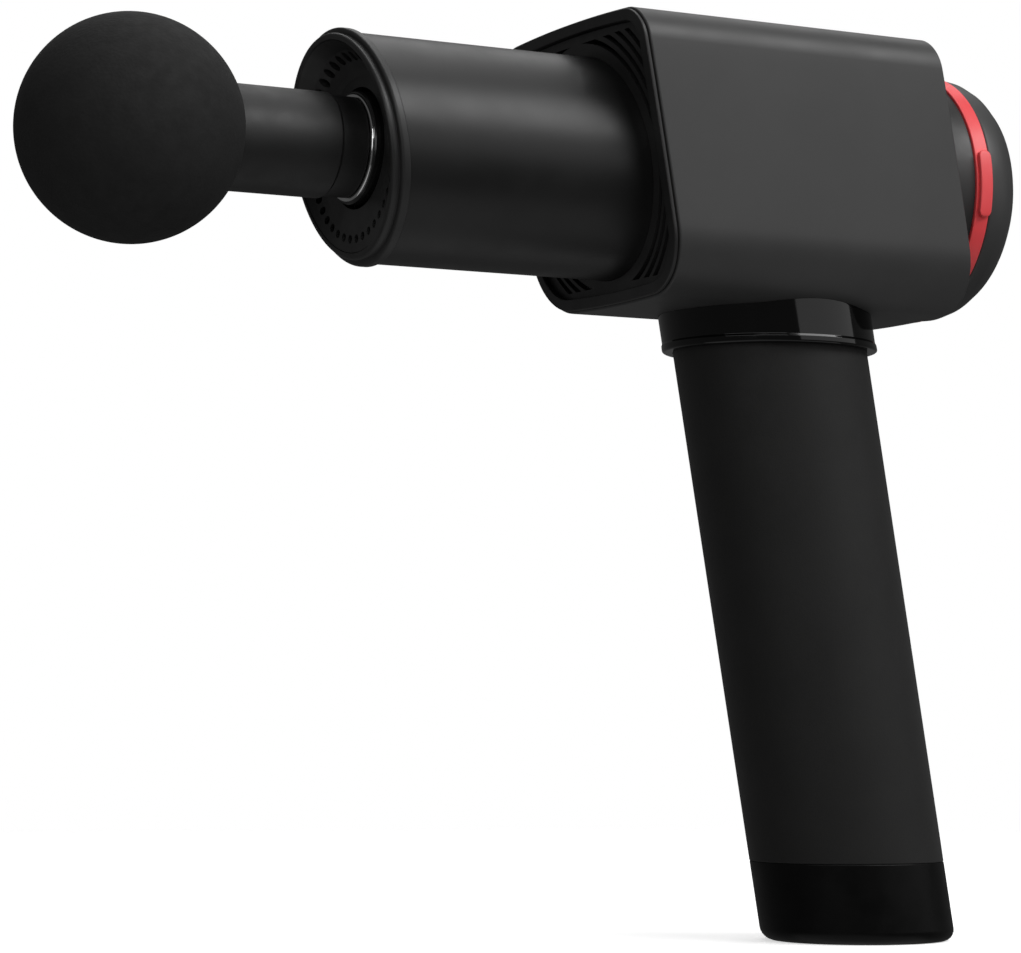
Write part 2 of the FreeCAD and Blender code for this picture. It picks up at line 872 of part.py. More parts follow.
def section_bar(label, inset, start, end):
    """Bar with the body's squarish section, inset from the outside, before its ends are raked."""
    half = d.body_half_width - inset
    top = d.body_top - inset
    bottom = -(d.body_bottom - inset)
    flat = bulge_radius(half, d.top_bulge)
    side = bulge_radius((top - bottom) / 2, d.side_bulge)
    body = new_body(label)
    sketch = new_sketch(body, "YZ_Plane", start)
    draw_loop(sketch, [
        (-half, bottom, flat), (half, bottom, side), (half, top, flat), (-half, top, side)])
    pad(body, sketch, end - start)

    def runs_along(edge, above):
        box = edge.BoundBox
        return box.XLength > 1 and box.YLength + box.ZLength < 0.1 and (box.Center.z > 0) == above
    least = 0.5
    for above, corner in ((True, d.top_corner), (False, d.bottom_corner)):
        radius = corner - inset
        if radius.value < least:
            radius = Size.of(least)
        round_edges(body, radius, lambda edge: runs_along(edge, above))
    on_barrel(body)
    return body


def raked_bar(label, inset, start, end):
    """The section between two raked planes, given by where they cross the barrel's axis."""
    start, end = Size.of(start), Size.of(end)
    body = section_bar(label, inset, start - 9.0, end + 9.0)
    trim_behind(body, start)
    trim_ahead(body, end)
    return body


def raked_frame(label, outer_inset, inner_inset, start, end):
    start, end = Size.of(start), Size.of(end)
    outer = raked_bar(label + "_outside", outer_inset, start, end)
    inner = section_bar(label + "_inside", inner_inset, start - 20.0, end + 20.0)
    return cut(label, outer, inner)


def handle_cylinder(label, radius, start, end, x=0):
    """Round bar along the leaning handle, between two stations on its axis."""
    piece = cylinder(label, radius, end - start)
    piece.Placement = FreeCAD.Placement(V(0, 0, 0), FreeCAD.Rotation(Y_AXIS, 1))
    piece.setExpression("Placement.Rotation.Angle", d.rake.text)
    along, aside = Size.of(start), Size.of(x)
    piece.setExpression("Placement.Base.x", ((along * slope + aside) * cosine(d.rake)).text)
    piece.setExpression("Placement.Base.z", ((along - aside * slope) * cosine(d.rake)).text)
    return piece


def body_shell():
    sleeve = raked_frame("body_sleeve", Size.of(0), d.shell_wall, d.body_back, d.body_front)
    neck = handle_cylinder("shell_opening", d.tube_radius + 0.4, 120, 168)
    return cut("body_shell", sleeve, neck)


bezel_inset = 0.5
bezel_band = 3.2
bezel_ahead = 1.2
plug_inset = d.shell_wall + 0.1


def front_bezel():
    lip = raked_frame("front_bezel_lip", Size.of(bezel_inset), Size.of(bezel_band),
                      d.body_front + 0.4, d.body_front + bezel_ahead)
    plug = raked_frame("front_bezel_plug", plug_inset, Size.of(bezel_band),
                       d.body_front - 4.0, d.body_front + 0.4)
    return fuse("front_bezel", [lip, plug])


slot_width = 1.3
slot_side = Size.of(29.0)        # the slots end at these lines beside, above and below the barrel
slot_top = Size.of(29.6)
slot_bottom = Size.of(27.6)


def grille_slot(inner, side, above):
    """Arc slot about the barrel in one corner: side and above pick the corner."""
    inner = Size.of(inner)
    outer = inner + slot_width
    level = slot_top if above > 0 else slot_bottom
    turn = side * above
    return [
        (side * slot_side, above * root(inner * inner - slot_side * slot_side), turn * inner),
        (side * root(inner * inner - level * level), above * level),
        (side * root(outer * outer - level * level), above * level, turn * -outer),
        (side * slot_side, above * root(outer * outer - slot_side * slot_side))]


def grille_plate():
    plate = raked_bar("grille_plate", Size.of(bezel_band) + 0.1, d.body_front - 2.4, d.body_front - 0.3)
    cut_through(plate, "YZ_Plane", circles=[(0, 0, d.barrel_radius + 0.1)])
    slots = []
    for side in (-1, 1):
        slots += [grille_slot(29.7 + 2.6 * index, side, 1) for index in range(4)]
        slots += [grille_slot(29.1 + 2.2 * index, side, -1) for index in range(3)]
    cut_through(plate, "YZ_Plane", *slots)
    return plate


# Rear frame: x is zero where its axis meets the body's rear plane and falls towards the back.
boss_back = -7.7
ring_front = -7.9
ring_back = -12.2
cap_front = -12.25
cap_face = -24.9
boss_radius = 30.5
boss_neck = 27.0                 # the part of the boss that fits inside the shell
spigot_radius = 27.2
panel_bore = 21.0
button_radius = Size.of(8.0)
lens_radius = Size.of(12.0)
button_travel = 1.0


def rear_panel():
    """Plate in the body's rear end with the round boss and spigot for the ring."""
    plate = raked_bar("rear_plate", plug_inset, d.body_back + 1.0, d.body_back + 4.0)
    boss = tube("rear_boss", on_rear, "X", panel_bore, boss_radius, boss_back, 10.0)
    trim_ahead(boss, -0.25)
    neck = turned("rear_neck", on_rear, "X", [
        (4.5, panel_bore), (4.5, 24.0), (3.0, 24.0), (3.0, boss_neck), (-5.0, boss_neck),
        (-5.0, spigot_radius), (ring_back, spigot_radius), (ring_back, panel_bore)])
    whole = fuse("rear_panel_blank", [plate, neck, boss])
    bore = disc("rear_panel_bore", on_rear, "X", panel_bore, -30.0, 12.0)
    return cut("rear_panel", whole, bore)


def speed_ring():
    """Ring turned by a raised thumb tab on the left side."""
    tab_front = ring_front - 0.5
    tab_back = ring_back + 0.3
    tab_low = d.ring_radius - 0.6
    tab_high = d.ring_radius + 1.2
    tab_angle = 30.0
    tab_corner = 1.5
    body = tube("speed_ring", on_rear, "X", spigot_radius + d.running_gap, d.ring_radius, ring_back + 0.2,
                ring_front)
    sketch = new_sketch(body, "XY_Plane")
    draw_loop(sketch, [
        (tab_back, tab_low), (tab_front, tab_low), (tab_front, tab_high), (tab_back, tab_high)])
    tab = body.newObject("PartDesign::Revolution", "tab_turn")
    tab.Profile = sketch
    tab.ReferenceAxis = (sketch, ["H_Axis"])
    tab.Angle = tab_angle
    tab.Midplane = True

    def at_end(edge):
        box = edge.BoundBox
        across = box.YLength > 0.8 and box.XLength < 0.1
        return across and abs(box.Center.z) > 7 and box.YMin > d.ring_radius.value - 3
    round_edges(body, tab_corner, at_end)
    return body


def rear_cap():
    inside = cap_face + 2.6
    cap_corner = 11.5
    spigot = panel_bore - 0.1
    spigot_bore = 18.5
    return turned("rear_cap", on_rear, "X", [
        (cap_front, spigot),
        (cap_front, d.cap_radius - 0.6),
        (cap_front - 0.6, d.cap_radius),
        (cap_face + cap_corner, d.cap_radius, cap_corner),
        (cap_face, d.cap_radius - cap_corner),
        (cap_face, lens_radius),
        (cap_face + 1.5, lens_radius),
        (cap_face + 1.5, button_radius + 0.2),
        (inside, button_radius + 0.2),
        (inside, spigot_bore),
        (cap_front + 6.0, spigot_bore),
        (cap_front + 6.0, spigot)])


def status_lens():
    return tube("status_lens", on_rear, "X", button_radius + 0.2, lens_radius - 0.1,
                cap_face + 0.1, cap_face + 1.5)


def power_button():
    flange_back = cap_face + 2.7
    return turned("power_button", on_rear, "X", [
        (cap_face - 0.3, 0),
        (cap_face - 0.3, button_radius - 0.8),
        (cap_face + 0.5, button_radius),
        (flange_back, button_radius),
        (flange_back, button_radius + 1.2),
        (flange_back + 0.9, button_radius + 1.2),
        (flange_back + 0.9, 0)])


board_front = -13.5


def power_switch():
    """Tactile switch: its plunger stops one travel short of the button."""
    plunger = cap_face + 3.6 + button_travel + 0.1
    return turned("power_switch", on_rear, "X", [
        (board_front - 1.6, 0), (board_front - 1.6, 3.2), (plunger + 1.0, 3.2),
        (plunger + 1.0, 1.6), (plunger, 1.6), (plunger, 0)])


def switch_board():
    return disc("switch_board", on_rear, "X", 18.2, board_front - 1.6, board_front)


# ---- Handle -----------------------------------------------------------------------------

jack_radius = Size.of(4.5)
jack_back = Size.of(-10.0)      # the charging port is behind the middle of the foot
foot_step = 8.6
foot_floor = 3.6
foot_screw_x = 4.0
foot_screw_y = 13.0
foot_screw_seat = 2.0


def level_tube(label, inner, outer, low, high):
    """Tube along the leaning handle with both ends cut level, at heights above the floor."""
    body = tube(label, on_handle, "Z", inner, outer, low - 12.0, high + 12.0)
    trim_below(body, low)
    trim_above(body, high)
    return body


def handle_tube():
    flange_low = flange_top - 3.0
    pipe = tube("handle_pipe", on_handle, "Z", d.tube_bore, d.tube_radius, foot_step + 0.1, 190)
    trim_above(pipe, flange_top)
    middle = handle_centre(flange_top)
    flange = block("handle_flange", (60, 40, flange_top - flange_low), middle - 30.0, -20, flange_low)
    bore = handle_cylinder("flange_bore", d.tube_bore, 120, 190)
    tools = [bore]
    for index, (x, y) in enumerate(handle_screw_points()):
        tools.append(cylinder("flange_hole_%d" % index, screw_hole, 20, x, y, flange_low - 5.0))
    return cut("handle_tube", fuse("handle_tube_blank", [pipe, flange]), fuse("flange_tools", tools))


def grip_sleeve():
    return level_tube("grip_sleeve", d.tube_radius, d.grip_radius, d.foot_height, d.grip_top)


def collar():
    """Flared ring between the grip and the body, cut to the body's underside."""
    lip = 0.3
    ring = level_tube("collar_ring", d.grip_radius + 0.1, d.collar_radius, d.collar_bottom, Size.of(158))
    flare = level_tube("collar_flare", d.grip_radius + 0.1, d.collar_radius + lip,
                       d.collar_bottom, d.collar_bottom + 1.6)
    inner_step = level_tube("collar_step", d.tube_radius, d.grip_radius + 0.2,
                            d.grip_top, Size.of(158))
    body_room = section_bar("collar_room", Size.of(-0.05), -30, 100)
    return cut("collar", fuse("collar_blank", [ring, flare, inner_step]), body_room)


def foot_cap():
    foot_edge = 3.2
    body = turned("foot_shape", on_handle, "Z", [
        (0, -9.0), (d.grip_radius, -9.0), (d.grip_radius, d.foot_height + 12.0),
        (d.tube_radius + 0.05, d.foot_height + 12.0), (d.tube_radius + 0.05, foot_step),
        (d.tube_bore - 1.0, foot_step), (d.tube_bore - 1.0, foot_floor), (0, foot_floor)])
    trim_below(body, Size.of(0))
    trim_above(body, d.foot_height)
    widest = 2 * d.grip_radius.value - 1
    round_edges(body, foot_edge, lambda e: e.BoundBox.YLength > widest and e.BoundBox.Center.z < 3)
    tools = [handle_cylinder("foot_port", jack_radius, -10, 20, jack_back)]
    for index, side in enumerate((-1, 1)):
        y = side * foot_screw_y
        tools.append(cylinder("foot_hole_%d" % index, screw_hole, 30, foot_screw_x, y, -10))
        tools.append(cylinder("foot_recess_%d" % index, 3.0, foot_screw_seat + 10, foot_screw_x, y, -10))
    return cut("foot_cap", body, fuse("foot_tools", tools))


def foot_boss():
    """Disc across the handle tube that the foot's screws hold."""
    web = disc("foot_boss_web", on_handle, "Z", d.tube_bore - 0.1, 9.0, 12.0)
    tools = [handle_cylinder("foot_boss_bore", jack_radius + 0.3, 0, 30, jack_back)]
    for index, side in enumerate((-1, 1)):
        hole = cylinder("foot_boss_hole_%d" % index, screw_hole, 20, foot_screw_x, side * foot_screw_y, 2)
        tools.append(hole)
    return cut("foot_boss", web, fuse("foot_boss_tools", tools))


def foot_screws():
    return group("foot_screws", at_origin, [
        screw("foot_screw_%d" % index, foot_screw_x, side * foot_screw_y, foot_screw_seat, V(0, 0, 1), 9.0,
              head=2.6, shank=1.45)
        for index, side in enumerate((-1, 1))])


def handle_screws():
    height = d.axis_height + floor_high
    return group("handle_screws", at_origin, [
        screw("handle_screw_%d" % index, x, y, height, V(0, 0, -1), 5.6, shank=1.45)
        for index, (x, y) in enumerate(handle_screw_points())])


def on_jack(piece):
    set_frame(piece, jack_back * cosine(d.rake), -jack_back * slope * cosine(d.rake), d.rake)


def charge_jack():
    """Socket for a round charging plug, 5.5 mm across."""
    opening = 2.8
    mouth = 0.8
    return turned("charge_jack", on_jack, "Z", [
        (opening, mouth), (jack_radius - 0.05, mouth), (jack_radius - 0.05, 12.5), (0, 12.5),
        (0, 11.0), (opening, 11.0)])


def jack_pin():
    return disc("jack_pin", on_jack, "Z", 1.0, 2.6, 11.0)


cell_circle = d.cell_radius * (2 / math.sqrt(3)) + 0.12
first_cell = Size.of(14.0)
second_cell = first_cell + d.cell_length + 1.0


def battery_cells():
    cells = []
    for level, start in enumerate((first_cell, second_cell)):
        for index, (x, y) in enumerate(around(3, cell_circle)):
            cells.append(cylinder("cell_%d_%d" % (level, index), d.cell_radius, d.cell_length, x, y, start))
    return group("battery_cells", on_handle, cells)


def cell_holders():
    """Drilled discs that keep the cells apart inside the tube."""
    holders = []
    for index, height in enumerate((first_cell + 3.0, second_cell - 6.0, second_cell + 57.0)):
        body = new_body("cell_holder_%d" % index)
        sketch = new_sketch(body, "XY_Plane", height)
        draw_circle(sketch, 0, 0, d.tube_bore - 0.1)
        for x, y in around(3, cell_circle):
            draw_circle(sketch, x, y, d.cell_radius + 0.05)
        pad(body, sketch, 4.0)
        holders.append(body)
    return group("cell_holders", on_handle, holders)


def cell_links():
    """Nickel plates that join the cells at each end of the two layers."""
    heights = (first_cell - 0.5, second_cell - 0.7, second_cell + d.cell_length + 0.1)
    links = [cylinder("cell_link_%d" % index, 14.0, 0.3, 0, 0, height)
             for index, height in enumerate(heights)]
    return group("cell_links", on_handle, links)


def battery_board():
    return disc("battery_board", on_handle, "Z", d.tube_bore - 0.4,
                second_cell + d.cell_length + 1.5, second_cell + d.cell_length + 3.1)


# ---- Electronics and rubber mounts ------------------------------------------------------

board_side = 22.0
board_back = 8.0


def control_board():
    sheet_of_glass = block("board_sheet", (46, 1.6, 42), board_back, board_side, -21)
    return group("control_board", on_barrel, [sheet_of_glass])


def board_capacitors():
    cans = [cylinder("capacitor_%d" % index, 4.0, 7.0, board_back + 8.0 + 10.0 * index, board_side + 1.6, -12,
                     V(0, 1, 0)) for index in range(3)]
    return group("board_capacitors", on_barrel, cans)


def board_chips():
    chips = []
    for row in range(2):
        for column in range(3):
            chips.append(block("chip_%d_%d" % (row, column), (6.0, 1.2, 5.0),
                               board_back + 5.0 + 11.0 * column, board_side + 1.6, 2.0 + 8.5 * row))
    return group("board_chips", on_barrel, chips)


def board_plugs():
    plugs = [block("board_plug_%d" % index, (5.0, 5.0, 8.0), board_back + 39.0, board_side + 1.6, z)
             for index, z in enumerate((-18.0, -6.0, 6.0))]
    return group("board_plugs", on_barrel, plugs)


def isolation_pads():
    """Rubber blocks between the bulkhead and the shell."""
    side_thick = 3.3
    top_thick = 2.8
    pads = []
    for index, side in enumerate((-1, 1)):
        edge = 29.0 if side > 0 else -29.0 - side_thick
        pads.append(block("side_pad_%d" % index, (4.0, side_thick, 14.0), bulkhead_x, edge, -7))
        pads.append(block("top_pad_%d" % index, (4.0, 12.0, top_thick), bulkhead_x, side * 14.0 - 6.0, 29))
    return group("isolation_pads", on_barrel, pads)


# ---- Build, test and write --------------------------------------------------------------

makers = [
    massage_ball, ball_stem, stem_o_rings, socket_rim, piston, wrist_pin, rod_bush, connecting_rod,
    big_end_bearing, crank_pin, crank_disc, counterweight, motor_shaft, rotor_bell, rotor_magnets,
    stator_core, stator_windings, motor_bearings, chassis, cylinder_block, guide_bush, piston_seal,
    barrel_tube, barrel_screws, nozzle_bezel, nozzle_vent_plate, body_shell, front_bezel,
    grille_plate, rear_panel, speed_ring, rear_cap, status_lens, power_button, power_switch,
    switch_board, handle_tube, grip_sleeve, collar, foot_cap, foot_boss, foot_screws, handle_screws,
    charge_jack, jack_pin, battery_cells, cell_holders, cell_links, battery_board, control_board,
    board_capacitors, board_chips, board_plugs, isolation_pads]

nodes = {}
for maker in makers:
    made = maker()
    made.Label = maker.__name__
    nodes[maker.__name__] = made

doc.recompute()

for item in doc.Objects:
    if "Invalid" in item.State or "Error" in item.State:
        raise RuntimeError("%s is %s" % (item.Label, item.State))
for name, piece in nodes.items():
    if piece.Shape.isNull() or not piece.Shape.isValid() or not piece.Shape.Solids:
        raise RuntimeError(name + " has no valid solid")

os.makedirs("parts", exist_ok=True)
for name, piece in nodes.items():
    piece.Shape.exportStep("parts/%s.step" % name)
    print("%-20s %2d solids %10.1f mm3" % (name, len(piece.Shape.Solids), piece.Shape.Volume))
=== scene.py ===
import json
import math

import bmesh
import bpy
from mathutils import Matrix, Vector


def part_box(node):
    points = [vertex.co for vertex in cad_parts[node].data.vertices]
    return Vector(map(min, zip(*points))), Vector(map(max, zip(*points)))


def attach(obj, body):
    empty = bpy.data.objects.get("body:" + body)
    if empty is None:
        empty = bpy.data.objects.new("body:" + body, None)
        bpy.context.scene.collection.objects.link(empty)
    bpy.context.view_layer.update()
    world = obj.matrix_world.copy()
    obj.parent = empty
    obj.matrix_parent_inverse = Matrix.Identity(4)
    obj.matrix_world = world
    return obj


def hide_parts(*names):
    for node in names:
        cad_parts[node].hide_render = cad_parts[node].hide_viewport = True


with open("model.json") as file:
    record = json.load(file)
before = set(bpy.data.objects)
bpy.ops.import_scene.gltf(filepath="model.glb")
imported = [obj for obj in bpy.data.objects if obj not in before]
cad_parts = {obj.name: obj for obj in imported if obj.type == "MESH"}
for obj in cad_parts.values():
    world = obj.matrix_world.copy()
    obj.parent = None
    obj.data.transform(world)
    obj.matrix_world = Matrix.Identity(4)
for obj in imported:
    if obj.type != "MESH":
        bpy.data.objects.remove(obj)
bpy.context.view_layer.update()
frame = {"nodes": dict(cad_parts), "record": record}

# Massage gun.  Shapes are worked out in millimetres and written in metres.  The barrel runs
# along +X at AXIS_HEIGHT, and the handle and the body's end faces lean back by the rake.

MM = 0.001
RAKE = math.radians(10.0)
LEAN = math.tan(RAKE)
AXIS_HEIGHT = 186.0

NOZZLE_FRONT = 143.0        # where the nozzle's raked face crosses the barrel's axis
NOZZLE_LIP = 4.0
NOZZLE_STEP = 2.2
NOZZLE_FLANGE_RADIUS = 27.3
NOZZLE_RIM_RADIUS = 25.9
BODY_FRONT = 75.5
BODY_BACK = -7.1
BARREL_BACK = 66.0
BARREL_RADIUS = 26.5
BARREL_BORE = 24.3

BODY_HALF = 34.4
BODY_TOP = 33.7
BODY_BOTTOM = 31.7
SIDE_BULGE = 0.6
TOP_BULGE = 1.2
TOP_CORNER = 8.7
BOTTOM_CORNER = 15.6
SHELL_WALL = 2.4
BEZEL_INSET = 0.5
BEZEL_BAND = 3.2
BEZEL_AHEAD = 1.2

TUBE_RADIUS = 21.8
TUBE_BORE = 20.2
GRIP_RADIUS = 23.6
COLLAR_RADIUS = 25.9
COLLAR_LOW = 144.3
FOOT_HEIGHT = 19.5
GRIP_TOP = 147.0

REAR_DROP = 0.5
RING_FRONT = -7.9
RING_BACK = -12.2
RING_RADIUS = 31.1
CAP_RADIUS = 30.7
CAP_FRONT = -12.25
CAP_FACE = -24.9
CAP_CORNER = 11.5
BUTTON_RADIUS = 8.0
BUTTON_BORE = BUTTON_RADIUS + 0.2
LENS_RADIUS = 12.0
LENS_DEPTH = 1.5
SPIGOT_RADIUS = 27.2


# ---- Axes and outlines ------------------------------------------------------------------

class Axis:
    """A straight axis, with the cross direction that angles are counted from."""

    def __init__(self, origin, along, across):
        self.origin = Vector(origin)
        self.along = Vector(along)
        self.across = Vector(across)
        self.side = self.along.cross(self.across)

    def point(self, station, radius, angle, lean=0.0):
        """Lean tilts the cut: the station grows by that much per unit of the cross direction."""
        out = radius * math.cos(angle)
        return (self.origin + self.along * (station + lean * out)
                + self.across * out + self.side * (radius * math.sin(angle)))


barrel = Axis((0, 0, AXIS_HEIGHT), (1, 0, 0), (0, 0, 1))
handle = Axis((0, 0, 0), (math.sin(RAKE), 0, math.cos(RAKE)), (math.cos(RAKE), 0, -math.sin(RAKE)))
rear = Axis((BODY_BACK, 0, AXIS_HEIGHT - REAR_DROP), (1, 0, 0), (0, 1, 0))


def level(height):
    """Station on the handle's axis at a height above the floor."""
    return height / math.cos(RAKE)


def corner(station, radius, rounding=0.0, lean=0.0):
    return Vector((station, radius, lean)), rounding


def rounded(corners):
    """The outline's points, with each corner that has a rounding turned into an arc."""
    points = []
    steps = 6
    for index, (here, rounding) in enumerate(corners):
        before = corners[index - 1][0] - here
        after = corners[(index + 1) % len(corners)][0] - here
        if rounding <= 0:
            points.append(here)
            continue
        inner = before.xy.angle(after.xy)
        reach = rounding / math.tan(inner / 2)
        first = here + before * (reach / before.xy.length)
        last = here + after * (reach / after.xy.length)
        weight = math.sin(inner / 2)
        for step in range(steps + 1):
            t = step / steps
            a, b, c = (1 - t) ** 2, 2 * t * (1 - t) * weight, t ** 2
            points.append((first * a + here * b + last * c) / (a + b + c))
    return points


def arc(centre_station, centre_radius, size, start, end, steps):
    """Outline corners along an arc, with angles in degrees from the axis's direction."""
    found = []
    for step in range(steps + 1):
        angle = math.radians(start + (end - start) * step / steps)
        station = centre_station + size * math.cos(angle)
        radius = centre_radius + size * math.sin(angle)
        found.append(corner(station, radius))
    return found


# ---- Meshes -----------------------------------------------------------------------------

SHARP = math.radians(32)


def soft_normals(piece):
    """Smooth shading that keeps hard edges hard and flat faces flat."""
    for face in piece.data.polygons:
        face.use_smooth = True
    piece.data.set_sharp_from_angle(angle=SHARP)
    weighted = piece.modifiers.new("weighted normals", "WEIGHTED_NORMAL")
    weighted.keep_sharp = True
    weighted.weight = 80


def from_rings(name, rings):
    """Closed mesh from rings of points in millimetres.  A ring of one point is a pole."""
    mesh = bpy.data.meshes.new(name)
    work = bmesh.new()
    rows = [[work.verts.new(point * MM) for point in ring] for ring in rings]
    for row, following in zip(rows, rows[1:] + rows[:1]):
        count = max(len(row), len(following))
        if count == 1:
            continue
        for index in range(count):
            here = [row[index % len(row)], row[(index + 1) % len(row)]]
            there = [following[(index + 1) % len(following)], following[index % len(following)]]
            face = here if len(row) > 1 else here[:1]
            face = face + (there if len(following) > 1 else there[:1])
            work.faces.new(face)
    bmesh.ops.recalc_face_normals(work, faces=work.faces)
    work.to_mesh(mesh)
    work.free()
    piece = bpy.data.objects.new(name, mesh)
    bpy.context.scene.collection.objects.link(piece)
    return piece


def even_angles(count):
    return [2 * math.pi * index / count for index in range(count)]


def lathe(name, axis, corners, angles=None, soft=True):
    """Turned piece, from outline corners of station, radius, rounding and lean."""
    angles = angles or even_angles(160)
    rings = []
    for station, radius, lean in rounded(corners):
        if radius < 1e-6:
            rings.append([axis.point(station, 0, 0)])
        else:
            rings.append([axis.point(station, radius, angle, lean) for angle in angles])
    piece = from_rings(name, rings)
    if soft:
        soft_normals(piece)
    return piece


def rod(name, axis, radius, start, end, offset=(0, 0)):
    """Plain bar used only to cut holes."""
    shifted = Axis(axis.origin + axis.across * offset[0] + axis.side * offset[1], axis.along, axis.across)
    corners = [corner(start, 0), corner(start, radius), corner(end, radius), corner(end, 0)]
    return lathe(name, shifted, corners, angles=even_angles(96), soft=False)


def carve(piece, cutters):
    """Cuts the cutters out of the piece for good."""
    for cutter in cutters:
        cut = piece.modifiers.new("cut", "BOOLEAN")
        cut.operation = "DIFFERENCE"
        cut.solver = "EXACT"
        cut.object = cutter
    view = bpy.context.evaluated_depsgraph_get()
    mesh = bpy.data.meshes.new_from_object(piece.evaluated_get(view))
    piece.modifiers.clear()
    piece.data = mesh
    for cutter in cutters:
        bpy.data.objects.remove(cutter)
    soft_normals(piece)


# ---- The body's squarish section --------------------------------------------------------

def bulge_radius(half_chord, bulge):
    return (half_chord ** 2 + bulge ** 2) / (2 * bulge)


def meet(first, first_radius, second, second_radius, above):
    """The crossing of two circles that is higher, or lower when above is negative."""
    gap = second - first
    along = (gap.length_squared + first_radius ** 2 - second_radius ** 2) / (2 * gap.length)
    across = math.sqrt(first_radius ** 2 - along ** 2)
    direction = gap.normalized()
    aside = Vector((-direction.y, direction.x))
    found = [first + direction * along + aside * (side * across) for side in (-1, 1)]
    return max(found, key=lambda p: p.y * above)


def arc_points(centre, start, end, steps):
    """Points on the arc about centre from start to just before end."""
    first = math.atan2(start.y - centre.y, start.x - centre.x)
    turn = math.atan2(end.y - centre.y, end.x - centre.x) - first
    turn = (turn + math.pi) % (2 * math.pi) - math.pi
    size = (start - centre).length
    for step in range(steps):
        angle = first + turn * step / steps
        yield centre + Vector((math.cos(angle), math.sin(angle))) * size


def half_section(inset):
    """Right half of the body's section, from the top's middle down to the bottom's."""
    half = BODY_HALF - inset
    middle_height = (BODY_TOP - BODY_BOTTOM) / 2
    flat = bulge_radius(half, TOP_BULGE)
    side = bulge_radius((BODY_TOP + BODY_BOTTOM) / 2 - inset, SIDE_BULGE)
    side_centre = Vector((half + SIDE_BULGE - side, middle_height))
    waist = side_centre + Vector((side, 0))
    points = []
    for sign, reach, size, steps in ((1, BODY_TOP, TOP_CORNER, 12), (-1, BODY_BOTTOM, BOTTOM_CORNER, 18)):
        size = max(size - inset, 0.5)
        crown = Vector((0, sign * (reach - inset + TOP_BULGE)))
        flat_centre = crown - Vector((0, sign * flat))
        round_centre = meet(flat_centre, flat - size, side_centre, side - size, sign)
        on_flat = flat_centre + (round_centre - flat_centre).normalized() * flat
        on_side = side_centre + (round_centre - side_centre).normalized() * side
        part = list(arc_points(flat_centre, crown, on_flat, 14))
        part += arc_points(round_centre, on_flat, on_side, steps)
        part += arc_points(side_centre, on_side, waist, 10)
        if sign > 0:
            points += part + [waist]
        else:
            points += part[::-1]
    return points


def section(inset):
    right = half_section(inset)
    left = [Vector((-p.x, p.y)) for p in right[-2:0:-1]]
    return right + left


def section_sweep(name, corners, soft=True):
    """Frame with the body's section.  Corners are (station, inset), and every cut is raked."""
    rings = []
    for station, inset, _ in rounded(corners):
        rings.append([Vector((station + LEAN * p.y, p.x, AXIS_HEIGHT + p.y)) for p in section(inset)])
    piece = from_rings(name, rings)
    if soft:
        soft_normals(piece)
    return piece


def underside(across):
    """Height of the body's underside above the floor, at a distance across from the middle."""
    lower = [p for p in half_section(0.0) if p.y < -BODY_BOTTOM / 2]
    across = abs(across)
    for nearer, farther in zip(lower[::-1], lower[-2::-1]):
        if nearer.x <= across <= farther.x:
            share = (across - nearer.x) / (farther.x - nearer.x)
            return AXIS_HEIGHT + nearer.y + share * (farther.y - nearer.y)
    return AXIS_HEIGHT + lower[0].y


# ---- Materials --------------------------------------------------------------------------

